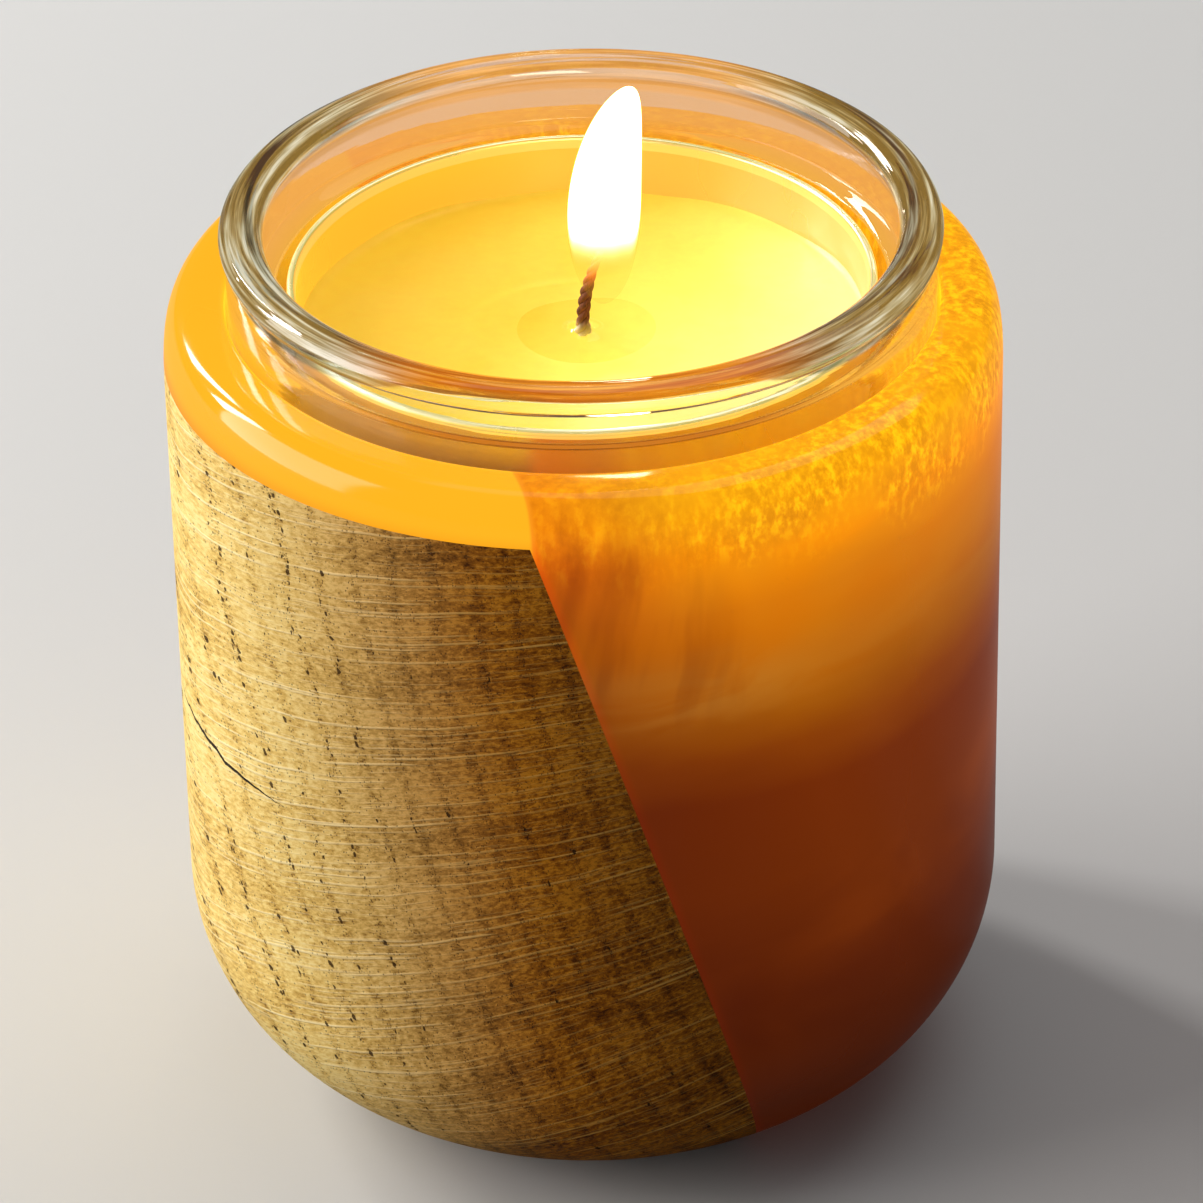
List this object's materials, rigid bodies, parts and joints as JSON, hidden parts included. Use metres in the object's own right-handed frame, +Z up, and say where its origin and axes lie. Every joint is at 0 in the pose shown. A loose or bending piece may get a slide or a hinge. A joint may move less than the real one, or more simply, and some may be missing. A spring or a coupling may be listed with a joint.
{
  "type": "turned candle holder",
  "caption": "Turned oak and cast resin candle holder with a lift-out clear glass insert holding a large aluminium-cup tealight, for a table or windowsill.",
  "frame": {"origin": "centre of the foot, on the surface the holder rests on", "axes": "+Z up along the turning axis; the slanted oak and resin joint crosses the front, which faces -Y, with the oak towards -X"},
  "size_m": [0.08, 0.08, 0.0931],
  "materials": {
    "oak": "satin oiled oak, end grain to the front",
    "resin": "polished pearl-pigmented cast resin, translucent",
    "clear_glass": "clear fire-polished glass",
    "aluminium": "thin drawn aluminium sheet",
    "wax": "soft translucent wax",
    "wick": "braided cotton, charred at the free end",
    "tinned_steel": "thin tinned sheet"
  },
  "bodies": {
    "holder": {"oak_block": "oak", "resin_body": "resin"},
    "insert": {"glass_insert": "clear_glass"},
    "candle": {"tealight_cup": "aluminium", "wax": "wax", "wick": "wick", "wick_sustainer": "tinned_steel"}
  },
  "joints": [
    {"name": "glass_lift", "type": "slide", "parent": "holder", "child": "insert", "axis": [0, 0, 1], "range_m": [0, 0.04]},
    {"name": "candle_lift", "type": "slide", "parent": "insert", "child": "candle", "axis": [0, 0, 1], "range_m": [0, 0.045]}
  ]
}
